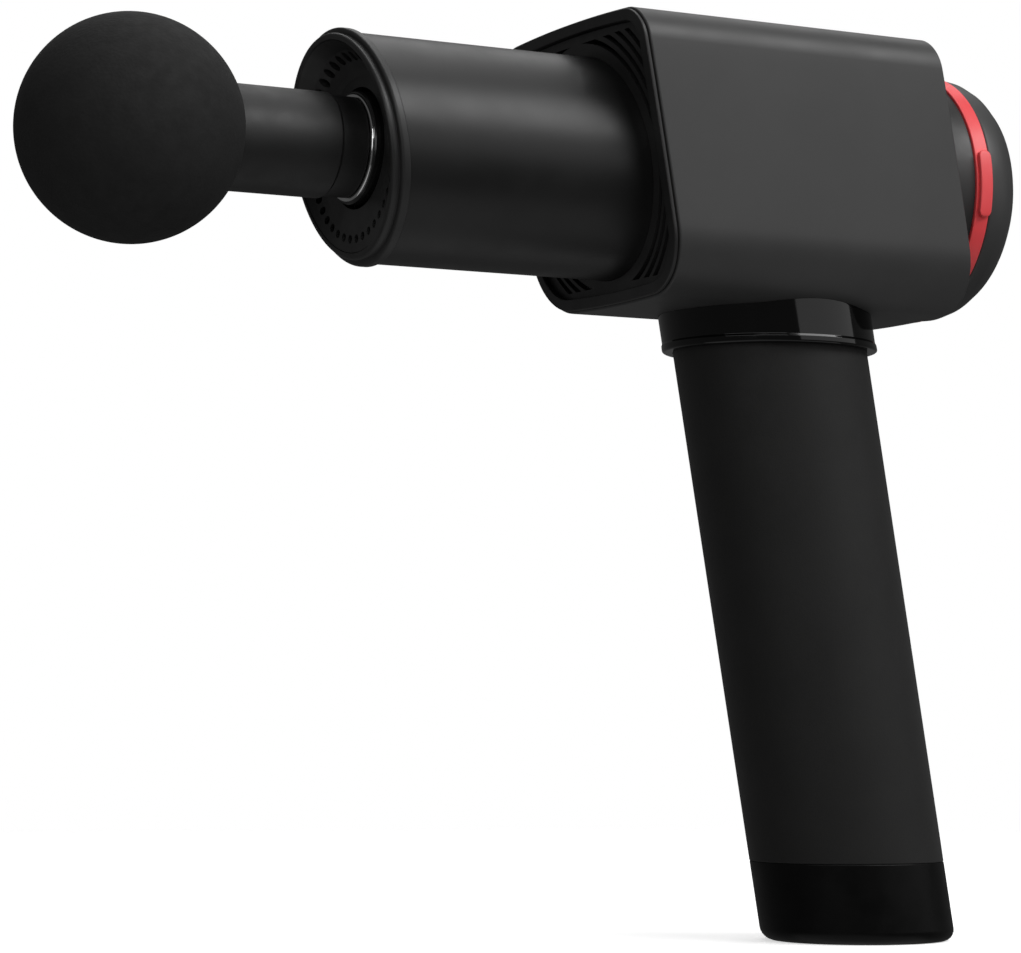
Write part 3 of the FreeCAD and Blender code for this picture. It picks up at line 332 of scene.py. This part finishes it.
class Surface:
    """A material under construction, on object coordinates with sizes in millimetres."""

    def __init__(self, name, **values):
        self.material = bpy.data.materials.new(name)
        self.material.use_nodes = True
        self.tree = self.material.node_tree
        self.shader = self.tree.nodes["Principled BSDF"]
        for socket, value in values.items():
            self.shader.inputs[socket.replace("_", " ")].default_value = value
        self.place = self.add("ShaderNodeTexCoord").outputs["Object"]
        self.height = None

    def add(self, kind, **settings):
        node = self.tree.nodes.new(kind)
        for setting, value in settings.items():
            setattr(node, setting, value)
        return node

    def link(self, output, socket):
        self.tree.links.new(output, socket)

    def stretched(self, stretch):
        mapping = self.add("ShaderNodeMapping")
        mapping.inputs["Scale"].default_value = stretch
        self.link(self.place, mapping.inputs["Vector"])
        return mapping.outputs["Vector"]

    def noise(self, size, detail=4.0, stretch=(1, 1, 1)):
        node = self.add("ShaderNodeTexNoise")
        node.inputs["Scale"].default_value = 1000.0 / size
        node.inputs["Detail"].default_value = detail
        self.link(self.stretched(stretch), node.inputs["Vector"])
        return node.outputs["Fac"]

    def cells(self, size, feature="F1"):
        node = self.add("ShaderNodeTexVoronoi", feature=feature)
        node.inputs["Scale"].default_value = 1000.0 / size
        self.link(self.place, node.inputs["Vector"])
        return node.outputs["Distance"]

    def waves(self, size, direction="X", wobble=1.0):
        node = self.add("ShaderNodeTexWave", bands_direction=direction)
        node.inputs["Scale"].default_value = 1000.0 / size / 6.0
        node.inputs["Distortion"].default_value = wobble
        self.link(self.place, node.inputs["Vector"])
        return node.outputs["Fac"]

    def ranged(self, signal, low, high, start=0.3, end=0.7):
        node = self.add("ShaderNodeMapRange")
        node.inputs["From Min"].default_value = start
        node.inputs["From Max"].default_value = end
        node.inputs["To Min"].default_value = low
        node.inputs["To Max"].default_value = high
        self.link(signal, node.inputs["Value"])
        return node.outputs["Result"]

    def tint(self, signal, dark, light):
        node = self.add("ShaderNodeMix", data_type="RGBA")
        colour_a, colour_b = node.inputs[6], node.inputs[7]
        colour_a.default_value = (*dark, 1.0)
        colour_b.default_value = (*light, 1.0)
        self.link(signal, node.inputs["Factor"])
        self.link(node.outputs[2], self.shader.inputs["Base Color"])

    def rough(self, signal, low, high):
        self.link(self.ranged(signal, low, high), self.shader.inputs["Roughness"])

    def relief(self, signal, depth):
        """Adds a height signal of that depth in millimetres on top of any earlier one."""
        node = self.add("ShaderNodeBump")
        node.inputs["Strength"].default_value = 1.0
        node.inputs["Distance"].default_value = depth * MM
        self.link(signal, node.inputs["Height"])
        if self.height:
            self.link(self.height, node.inputs["Normal"])
        self.height = node.outputs["Normal"]
        self.link(self.height, self.shader.inputs["Normal"])


def grey(value, warm=0.0):
    return value * (1 + warm), value, value * (1 - warm)


def plain_finish(name, dark, light, smooth, coarse, grain, depth, blotch=9.0, **values):
    """Colour and gloss that drift over the surface, with a fine moulded or cast grain."""
    surface = Surface(name, **values)
    drift = surface.noise(blotch, detail=6.0)
    surface.tint(surface.ranged(drift, 0.0, 1.0), dark, light)
    surface.rough(surface.noise(blotch * 0.6, detail=8.0), smooth, coarse)
    surface.relief(surface.noise(grain, detail=3.0), depth)
    return surface


def foam_rubber(name):
    surface = plain_finish(name, grey(0.012), grey(0.015), 0.76, 0.88, 0.35, 0.02,
                           blotch=5.0, Specular_IOR_Level=0.3)
    surface.relief(surface.cells(0.9), 0.05)
    return surface


def stem_plastic(name):
    return plain_finish(name, grey(0.006), grey(0.008), 0.46, 0.56, 0.25, 0.006)


def rubber(name, shade=0.016):
    return plain_finish(name, grey(shade * 0.8), grey(shade * 1.2), 0.6, 0.78, 0.3, 0.012,
                        Specular_IOR_Level=0.35)


def grip_rubber(name):
    surface = plain_finish(name, grey(0.008, 0.02), grey(0.0105, 0.02), 0.52, 0.66, 0.22, 0.012,
                           blotch=14.0, Specular_IOR_Level=0.36, Sheen_Weight=0.05, Sheen_Roughness=0.5)
    surface.relief(surface.cells(0.45, "SMOOTH_F1"), 0.01)
    return surface


def chrome(name):
    return plain_finish(name, grey(0.70), grey(0.80), 0.06, 0.16, 0.6, 0.002, blotch=3.0, Metallic=1.0)


def gloss_black(name):
    return plain_finish(name, grey(0.0006), grey(0.001), 0.05, 0.09, 1.8, 0.002, blotch=12.0)


def piston_black(name):
    surface = plain_finish(name, grey(0.006), grey(0.010), 0.14, 0.24, 0.5, 0.003, blotch=6.0)
    surface.relief(surface.noise(0.4, detail=2.0, stretch=(6, 0.3, 0.3)), 0.002)
    return surface


def barrel_black(name):
    surface = plain_finish(name, grey(0.006), grey(0.008), 0.36, 0.43, 0.16, 0.004, blotch=16.0)
    surface.relief(surface.noise(5.0, detail=2.0), 0.004)
    return surface


def trim_black(name):
    return plain_finish(name, grey(0.016), grey(0.021), 0.36, 0.48, 0.22, 0.008)


def body_black(name):
    surface = plain_finish(name, grey(0.040), grey(0.047), 0.42, 0.50, 0.18, 0.006, blotch=22.0)
    surface.relief(surface.cells(0.32, "SMOOTH_F1"), 0.004)
    surface.relief(surface.noise(7.0, detail=2.0), 0.004)
    return surface


def ring_red(name):
    return plain_finish(name, (0.95, 0.075, 0.085), (1.0, 0.095, 0.105), 0.34, 0.46, 0.3, 0.006,
                        Subsurface_Weight=0.05, Subsurface_Scale=0.0005)


def lens_smoke(name):
    return plain_finish(name, grey(0.03), grey(0.045), 0.12, 0.22, 0.8, 0.003, Transmission_Weight=0.25)


def foot_black(name):
    return plain_finish(name, grey(0.0012), grey(0.002), 0.30, 0.42, 0.3, 0.005,
                        Specular_IOR_Level=0.2)


def machined(name, shade, low=0.2, high=0.36, warm=0.0):
    surface = plain_finish(name, grey(shade * 0.85, warm), grey(shade, warm), low, high, 0.5, 0.004,
                           blotch=4.0, Metallic=1.0)
    surface.relief(surface.waves(0.4, "Y", 2.0), 0.002)
    return surface


def copper(name):
    surface = plain_finish(name, (0.45, 0.16, 0.06), (0.62, 0.27, 0.11), 0.28, 0.4, 0.6, 0.01,
                           blotch=3.0, Metallic=0.8)
    surface.relief(surface.waves(0.5, "Y", 0.6), 0.12)
    return surface


def lamination(name):
    surface = machined(name, 0.3)
    surface.relief(surface.waves(0.35, "Y", 0.0), 0.05)
    return surface


def board(name):
    surface = plain_finish(name, (0.015, 0.11, 0.045), (0.03, 0.19, 0.085), 0.3, 0.45, 0.7, 0.01,
                           blotch=2.5)
    surface.relief(surface.cells(1.8), 0.05)
    return surface


def cell_wrap(name):
    return plain_finish(name, (0.02, 0.10, 0.25), (0.03, 0.14, 0.32), 0.25, 0.4, 1.5, 0.02)


def white_nylon(name):
    return plain_finish(name, (0.72, 0.71, 0.66), (0.83, 0.82, 0.78), 0.4, 0.55, 0.3, 0.006)


FINISHES = {
    "foam_rubber": foam_rubber,
    "stem_plastic": stem_plastic,
    "seal_rubber": rubber,
    "chrome_rim": chrome,
    "black_anodised": piston_black,
    "steel": lambda name: machined(name, 0.52),
    "bronze": lambda name: machined(name, 0.45, warm=0.35),
    "rod_aluminium": lambda name: machined(name, 0.68),
    "magnet": lambda name: machined(name, 0.36, 0.15, 0.25),
    "lamination": lamination,
    "copper_winding": copper,
    "chassis_aluminium": lambda name: machined(name, 0.6, 0.38, 0.55),
    "barrel_black": barrel_black,
    "trim_black": trim_black,
    "body_black": body_black,
    "ring_red": ring_red,
    "lens_smoke": lens_smoke,
    "button_black": stem_plastic,
    "board_green": board,
    "component_black": lambda name: rubber(name, 0.03),
    "connector_white": white_nylon,
    "collar_gloss": gloss_black,
    "grip_rubber": grip_rubber,
    "foot_black": foot_black,
    "tube_plastic": lambda name: rubber(name, 0.022),
    "cell_wrap": cell_wrap,
    "nickel": lambda name: machined(name, 0.6, 0.12, 0.28),
    "pad_rubber": rubber,
}
slot_of = {part["node"]: part["material_slot"] for part in frame["record"]["subparts"]}
materials = {slot: FINISHES[slot](slot).material for slot in sorted(set(slot_of.values()))}


def finish_cad_nodes():
    for node, piece in frame["nodes"].items():
        for holder in piece.material_slots:
            holder.material = materials[slot_of[node]]


def place(piece, body, node):
    """The piece stands for a CAD node, in that node's material, and moves with a body."""
    piece.data.materials.clear()
    piece.data.materials.append(materials[slot_of[node]])
    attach(piece, body)
    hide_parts(node)
    return piece


# ---- Massage head and piston ------------------------------------------------------------

ball_low, ball_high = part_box("massage_ball")
BALL_RADIUS = (ball_high.y - ball_low.y) / 2 / MM
BALL_X = ball_high.x / MM - BALL_RADIUS
STEM_SHOULDER = BALL_X - 20.0      # where the stem steps down to the core inside the ball
RIM_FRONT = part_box("socket_rim")[1].x / MM
STEM_RADIUS = 12.3
NECK_RADIUS = 11.7
CORE_RADIUS = 8.0
PLUG_RADIUS = 9.7
SOCKET_RADIUS = 10.0
RIM_RADIUS = 12.6


def massage_ball():
    """Foam ball, with a softly turned-in mouth where it takes the stem."""
    mouth_radius = STEM_RADIUS + 0.1
    mouth_angle = 180.0 - math.degrees(math.asin(mouth_radius / BALL_RADIUS))
    core_end = BALL_X + 8.0
    lip = 1.2
    corners = [corner(core_end, 0)]
    corners += arc(BALL_X, 0, BALL_RADIUS, 0, mouth_angle - 2.4, 72)
    corners += [
        corner(BALL_X + BALL_RADIUS * math.cos(math.radians(mouth_angle)) + 0.15, mouth_radius, 0.35),
        corner(STEM_SHOULDER + lip, mouth_radius),
        corner(STEM_SHOULDER, mouth_radius),
        corner(STEM_SHOULDER, CORE_RADIUS),
        corner(core_end, CORE_RADIUS)]
    piece = lathe("foam_massage_ball", barrel, corners, angles=even_angles(192))
    place(piece, "head", "massage_ball")


def ball_stem():
    """Stem with its chamfer, the neck and the grooved plug."""
    neck_end = RIM_FRONT + 6.5
    core_end = BALL_X + 7.8
    plug_start = RIM_FRONT - 28.0
    core_fit = CORE_RADIUS - 0.05
    groove_radius = 8.2
    groove_half = 1.1
    corners = [
        corner(plug_start, 0),
        corner(core_end, 0),
        corner(core_end, core_fit),
        corner(STEM_SHOULDER, core_fit),
        corner(STEM_SHOULDER, STEM_RADIUS),
        corner(neck_end + 0.7, STEM_RADIUS, 0.25),
        corner(neck_end, NECK_RADIUS, 0.15),
        corner(RIM_FRONT + 0.1, NECK_RADIUS, 0.2),
        corner(RIM_FRONT + 0.1, PLUG_RADIUS)]
    for station in (RIM_FRONT - 9.0, RIM_FRONT - 21.0):
        corners += [
            corner(station + groove_half, PLUG_RADIUS, 0.1),
            corner(station + groove_half, groove_radius),
            corner(station - groove_half, groove_radius),
            corner(station - groove_half, PLUG_RADIUS, 0.1)]
    corners += [corner(plug_start + 1.0, PLUG_RADIUS), corner(plug_start, PLUG_RADIUS - 1.0)]
    place(lathe("ball_stem_turned", barrel, corners[::-1]), "head", "ball_stem")


def socket_rim():
    rim_back = RIM_FRONT - 2.0
    corners = [
        corner(rim_back, SOCKET_RADIUS),
        corner(RIM_FRONT, SOCKET_RADIUS, 0.3),
        corner(RIM_FRONT, RIM_RADIUS, 0.5),
        corner(rim_back, RIM_RADIUS)]
    place(lathe("chrome_socket_rim", barrel, corners), "piston_body", "socket_rim")


# ---- Barrel and nozzle ------------------------------------------------------------------

def barrel_tube():
    front = NOZZLE_FRONT - NOZZLE_LIP
    corners = [
        corner(BARREL_BACK, BARREL_BORE),
        corner(front, BARREL_BORE, 0.0, LEAN),
        corner(front, BARREL_RADIUS, 0.45, LEAN),
        corner(BARREL_BACK, BARREL_RADIUS, 0.2)]
    place(lathe("barrel_sleeve", barrel, corners, angles=even_angles(200)), "housing", "barrel_tube")


def nozzle_bezel():
    back = NOZZLE_FRONT - NOZZLE_LIP
    step = back + NOZZLE_STEP
    corners = [
        corner(back, BARREL_BORE, 0.0, LEAN),
        corner(NOZZLE_FRONT, BARREL_BORE, 0.35, LEAN),
        corner(NOZZLE_FRONT, NOZZLE_RIM_RADIUS, 0.8, LEAN),
        corner(step, NOZZLE_RIM_RADIUS, 0.1, LEAN),
        corner(step, NOZZLE_FLANGE_RADIUS, 0.8, LEAN),
        corner(back, NOZZLE_FLANGE_RADIUS, 0.3, LEAN)]
    place(lathe("nozzle_trim_ring", barrel, corners, angles=even_angles(200)), "housing", "nozzle_bezel")


# ---- Body -------------------------------------------------------------------------------

def body_shell():
    shell = section_sweep("body_shell_moulding", [
        corner(BODY_BACK, 0.0, 0.5),
        corner(BODY_FRONT, 0.0, 0.45),
        corner(BODY_FRONT, SHELL_WALL),
        corner(BODY_BACK, SHELL_WALL)], soft=False)
    opening = rod("opening_cutter", handle, TUBE_RADIUS + 0.4, level(120), level(166))
    carve(shell, [opening])
    place(shell, "housing", "body_shell")


def front_bezel():
    step = BODY_FRONT + 0.4
    face = BODY_FRONT + BEZEL_AHEAD
    plug_back = BODY_FRONT - 4.0
    plug_inset = SHELL_WALL + 0.1
    bezel = section_sweep("front_bezel_frame", [
        corner(step, BEZEL_INSET),
        corner(face, BEZEL_INSET, 0.35),
        corner(face, BEZEL_BAND, 0.3),
        corner(plug_back, BEZEL_BAND),
        corner(plug_back, plug_inset),
        corner(step, plug_inset)])
    place(bezel, "housing", "front_bezel")


TAB_HALF = math.radians(15.0)
TAB_HIGH = RING_RADIUS + 1.2


def thumb_tab():
    """Raised pad on the ring with rounded corners, bent round the ring's axis."""
    front = RING_FRONT - 0.5
    back = RING_BACK + 0.3
    middle = (front + back) / 2
    half_width = (front - back) / 2
    corner_size = 1.6
    edge = 0.35
    low = RING_RADIUS - 0.6
    length = TAB_HALF * RING_RADIUS
    steps = 12
    ends = [length - corner_size * (1 - math.sin(math.pi / 2 * step / steps)) for step in range(steps + 1)]
    between = [length * share / steps for share in range(-9, 10)]
    rings = []
    for along in sorted([-end for end in ends] + between + ends):
        inside = min(length - abs(along), corner_size)
        width = half_width - corner_size + math.sqrt(corner_size ** 2 - (corner_size - inside) ** 2)
        width = max(width, edge + 0.05)
        high = TAB_HIGH - edge * (1 - min(inside / edge, 1.0)) ** 2
        outline = [(-width, low), (-width, high - edge)]
        for step in range(1, 4):
            turn = math.pi / 6 * step
            outline.append((-width + edge * (1 - math.cos(turn)), high - edge * (1 - math.sin(turn))))
        outline += [(-station, radius) for station, radius in outline[::-1]]
        angle = along / RING_RADIUS
        rings.append([rear.point(middle + station, radius, angle) for station, radius in outline])
    middle_radius = (low + TAB_HIGH) / 2
    first = [rear.point(middle, middle_radius, -TAB_HALF)]
    last = [rear.point(middle, middle_radius, TAB_HALF)]
    return from_rings("thumb_tab", [first] + rings + [last])


def merge(piece, other):
    """Adds the other piece's faces to the piece."""
    work = bmesh.new()
    work.from_mesh(piece.data)
    work.from_mesh(other.data)
    work.to_mesh(piece.data)
    work.free()
    bpy.data.objects.remove(other)


def speed_ring():
    back = RING_BACK + 0.2
    bore = SPIGOT_RADIUS + 0.05
    corners = [
        corner(back, bore),
        corner(RING_FRONT, bore),
        corner(RING_FRONT, RING_RADIUS, 0.3),
        corner(back, RING_RADIUS, 0.3)]
    ring = lathe("speed_ring_turned", rear, corners, angles=even_angles(200), soft=False)
    merge(ring, thumb_tab())
    soft_normals(ring)
    place(ring, "ring", "speed_ring")


def rear_cap():
    inside = CAP_FACE + 2.6
    seat = CAP_FACE + LENS_DEPTH
    step = CAP_FRONT + 6.0
    mouth_radius = 20.9
    hollow_radius = 18.5
    corners = [
        corner(CAP_FRONT, mouth_radius),
        corner(CAP_FRONT, CAP_RADIUS, 0.6),
        corner(CAP_FACE, CAP_RADIUS, CAP_CORNER),
        corner(CAP_FACE, LENS_RADIUS, 0.2),
        corner(seat, LENS_RADIUS),
        corner(seat, BUTTON_BORE),
        corner(inside, BUTTON_BORE),
        corner(inside, hollow_radius),
        corner(step, hollow_radius),
        corner(step, mouth_radius)]
    place(lathe("rear_cap_moulding", rear, corners), "housing", "rear_cap")


def status_lens():
    face = CAP_FACE + 0.1
    seat = CAP_FACE + LENS_DEPTH
    outer = LENS_RADIUS - 0.1
    corners = [
        corner(face, BUTTON_BORE, 0.15),
        corner(face, outer, 0.25),
        corner(seat, outer),
        corner(seat, BUTTON_BORE)]
    place(lathe("status_lens_ring", rear, corners), "housing", "status_lens")


def power_button():
    face = CAP_FACE - 0.3
    flange = CAP_FACE + 2.7
    flange_back = flange + 0.9
    flange_radius = BUTTON_RADIUS + 1.2
    corners = [
        corner(face + 0.35, 0),
        corner(face + 0.2, 3.0, 2.0),
        corner(face, BUTTON_RADIUS - 1.2),
        corner(face, BUTTON_RADIUS, 0.6),
        corner(flange, BUTTON_RADIUS),
        corner(flange, flange_radius),
        corner(flange_back, flange_radius),
        corner(flange_back, 0)]
    place(lathe("power_button_cap", rear, corners), "button", "power_button")


# ---- Handle -----------------------------------------------------------------------------

def collar():
    """Glossy ring whose flared lip is level, and whose top follows the body's underside."""
    clear = 0.05
    bore = TUBE_RADIUS + 0.05
    inner = GRIP_RADIUS + 0.1
    flare = COLLAR_RADIUS + 0.3
    low = level(COLLAR_LOW)
    corners = [
        corner(low, inner, 0.0, LEAN),
        corner(low, flare, 0.6, LEAN),
        corner(low + 1.6, flare - 0.05, 0.3, LEAN),
        corner(low + 2.1, COLLAR_RADIUS, 0.3, LEAN)]
    rings = []
    angles = even_angles(200)
    for station, radius, lean in rounded(corners + [corner(low + 6.0, COLLAR_RADIUS, 0.0, LEAN)]):
        rings.append([handle.point(station, radius, angle, lean) for angle in angles])
    for radius in (COLLAR_RADIUS, bore):
        ring = []
        for angle in angles:
            flat = handle.point(0, radius, angle)
            rise = underside(flat.y) - clear - flat.z
            ring.append(handle.point(rise / math.cos(RAKE), radius, angle))
        rings.append(ring)
    step = level(GRIP_TOP)
    for radius in (bore, inner):
        rings.append([handle.point(step, radius, angle, LEAN) for angle in angles])
    piece = from_rings("collar_ring", rings)
    soft_normals(piece)
    place(piece, "housing", "collar")


def grip_sleeve():
    low = level(FOOT_HEIGHT)
    high = level(GRIP_TOP)
    corners = [
        corner(low, TUBE_RADIUS, 0.0, LEAN),
        corner(low, GRIP_RADIUS, 0.3, LEAN),
        corner(high, GRIP_RADIUS, 0.3, LEAN),
        corner(high, TUBE_RADIUS, 0.0, LEAN)]
    place(lathe("grip_sleeve_rubber", handle, corners, angles=even_angles(200)), "housing", "grip_sleeve")


def foot_cap():
    """Foot with a rounded base edge, the charging port and two screw recesses."""
    step = 8.6
    inner_floor = 3.6
    seam = level(FOOT_HEIGHT)
    socket = TUBE_RADIUS + 0.05
    inside = TUBE_BORE - 1.0
    port_radius = 4.5
    hole_radius = 1.55
    recess_radius = 3.0
    corners = [
        corner(0, 0, 0.0, LEAN),
        corner(0, GRIP_RADIUS, 3.2, LEAN),
        corner(seam, GRIP_RADIUS, 0.3, LEAN),
        corner(seam, socket, 0.0, LEAN),
        corner(step, socket),
        corner(step, inside),
        corner(inner_floor, inside),
        corner(inner_floor, 0)]
    foot = lathe("foot_cap_moulding", handle, corners, angles=even_angles(200), soft=False)
    upright = Axis((0, 0, 0), (0, 0, 1), (1, 0, 0))
    cutters = [rod("port_cutter", handle, port_radius, -10.0, 20.0, (-10.0, 0))]
    for index, side in enumerate((-1, 1)):
        screw_place = (4.0, side * 13.0)
        cutters.append(rod("hole_cutter_%d" % index, upright, hole_radius, -8.0, 20.0, screw_place))
        cutters.append(rod("recess_cutter_%d" % index, upright, recess_radius, -8.0, 2.0, screw_place))
    carve(foot, cutters)
    place(foot, "housing", "foot_cap")


# ---- Floor, light and camera ------------------------------------------------------------

def ring_mesh(name, outline):
    """Open surface turned about the vertical axis from (radius, height) pairs."""
    mesh = bpy.data.meshes.new(name)
    work = bmesh.new()
    rows = []
    for radius, height in outline:
        count = 96 if radius else 1
        across = radius * MM
        rows.append([work.verts.new((across * math.cos(angle), across * math.sin(angle), height * MM))
                     for angle in even_angles(count)])
    for row, following in zip(rows, rows[1:]):
        for index in range(len(following)):
            after = (index + 1) % len(following)
            inner = [row[index], row[after]] if len(row) > 1 else [row[0]]
            work.faces.new([following[after], following[index]] + inner)
    work.to_mesh(mesh)
    work.free()
    for face in mesh.polygons:
        face.use_smooth = True
    piece = bpy.data.objects.new(name, mesh)
    bpy.context.scene.collection.objects.link(piece)
    return piece


def backdrop():
    """White cove all round, far enough off for any view.  It only shows directly: it lights nothing."""
    flat = 2200.0
    bend = 900.0
    steps = 16
    outline = [(0.0, -2.0), (flat, -2.0)]
    for step in range(1, steps + 1):
        angle = math.pi / 2 * step / steps
        outline.append((flat + bend * math.sin(angle), bend * (1 - math.cos(angle))))
    outline += [(flat + bend, 3000.0), (1.0, 3600.0)]
    cove = ring_mesh("studio_backdrop", outline)
    white = Surface("backdrop_white", Base_Color=(0, 0, 0, 1), Emission_Color=(1, 1, 1, 1),
                    Emission_Strength=1.0, Specular_IOR_Level=0.0)
    cove.data.materials.append(white.material)
    for ray in ("diffuse", "glossy", "transmission", "volume_scatter", "shadow"):
        setattr(cove, "visible_" + ray, False)


def floor():
    """Pale round floor whose edge fades into the backdrop."""
    radius = 900.0
    fade_start = 450.0
    sheet = ring_mesh("studio_floor", [(0.0, 0.0), (radius * 0.5, 0.0), (radius, 0.0)])
    paper = Surface("pale_paper", Roughness=0.9, Specular_IOR_Level=0.1, Emission_Color=(1, 1, 1, 1),
                    Emission_Strength=0.6)
    paper.tint(paper.noise(400.0), grey(0.97), grey(0.985))
    distance = paper.add("ShaderNodeVectorMath", operation="LENGTH")
    paper.link(paper.place, distance.inputs[0])
    fade = paper.ranged(distance.outputs["Value"], 1.0, 0.0, fade_start * MM, radius * MM * 0.98)
    paper.link(fade, paper.shader.inputs["Alpha"])
    sheet.data.materials.append(paper.material)
    for ray in ("diffuse", "glossy", "shadow"):
        setattr(sheet, "visible_" + ray, False)


LIGHT_AIM = Vector((0.06, 0.0, 0.13))


def softbox(name, place_at, size, radiance):
    """Rectangular lamp of an even brightness, where the backdrop's white is 1."""
    light = bpy.data.lights.new(name, "AREA")
    light.shape = "RECTANGLE"
    light.size, light.size_y = size
    light.energy = radiance * math.pi * size[0] * size[1]
    lamp = bpy.data.objects.new(name, light)
    lamp.location = place_at
    towards = LIGHT_AIM - Vector(place_at)
    lamp.rotation_euler = towards.to_track_quat("-Z", "Y").to_euler()
    bpy.context.scene.collection.objects.link(lamp)


def lights():
    world = bpy.data.worlds.new("studio")
    world.use_nodes = True
    background = world.node_tree.nodes["Background"]
    background.inputs["Color"].default_value = (1.0, 1.0, 1.0, 1.0)
    background.inputs["Strength"].default_value = 0.08
    bpy.context.scene.world = world
    softbox("overhead_softbox", (-0.1, 0.0, 1.7), (1.2, 1.0), 2.0)
    softbox("far_high_softbox", (-0.55, -0.9, 1.35), (1.4, 0.7), 1.1)
    softbox("near_high_softbox", (-0.60, 1.05, 1.15), (1.5, 0.7), 4.4)
    softbox("near_low_softbox", (-0.83, 1.15, 0.30), (2.0, 0.5), 0.65)
    softbox("camera_side_softbox", (0.70, 1.25, 0.72), (0.9, 0.45), 2.6)
    softbox("nose_softbox", (1.35, 0.72, 0.33), (0.9, 0.5), 1.3)
    softbox("floor_bounce", (0.05, 0.10, -0.70), (1.6, 1.4), 0.27)


CAMERA_PLACE = (0.48421, 0.71434, 0.0538)
CAMERA_TURN = (94.044, -0.141, 151.589)
CAMERA_LENS = 121.75


def camera():
    data = bpy.data.cameras.new("camera")
    data.lens = CAMERA_LENS
    data.sensor_width = 36.0
    view = bpy.data.objects.new("camera", data)
    view.location = CAMERA_PLACE
    view.rotation_euler = [math.radians(angle) for angle in CAMERA_TURN]
    bpy.context.scene.collection.objects.link(view)
    bpy.context.scene.camera = view


bpy.context.scene.view_settings.view_transform = "Standard"
finish_cad_nodes()
massage_ball()
ball_stem()
socket_rim()
barrel_tube()
nozzle_bezel()
body_shell()
front_bezel()
speed_ring()
rear_cap()
status_lens()
power_button()
collar()
grip_sleeve()
foot_cap()
backdrop()
floor()
lights()
camera()
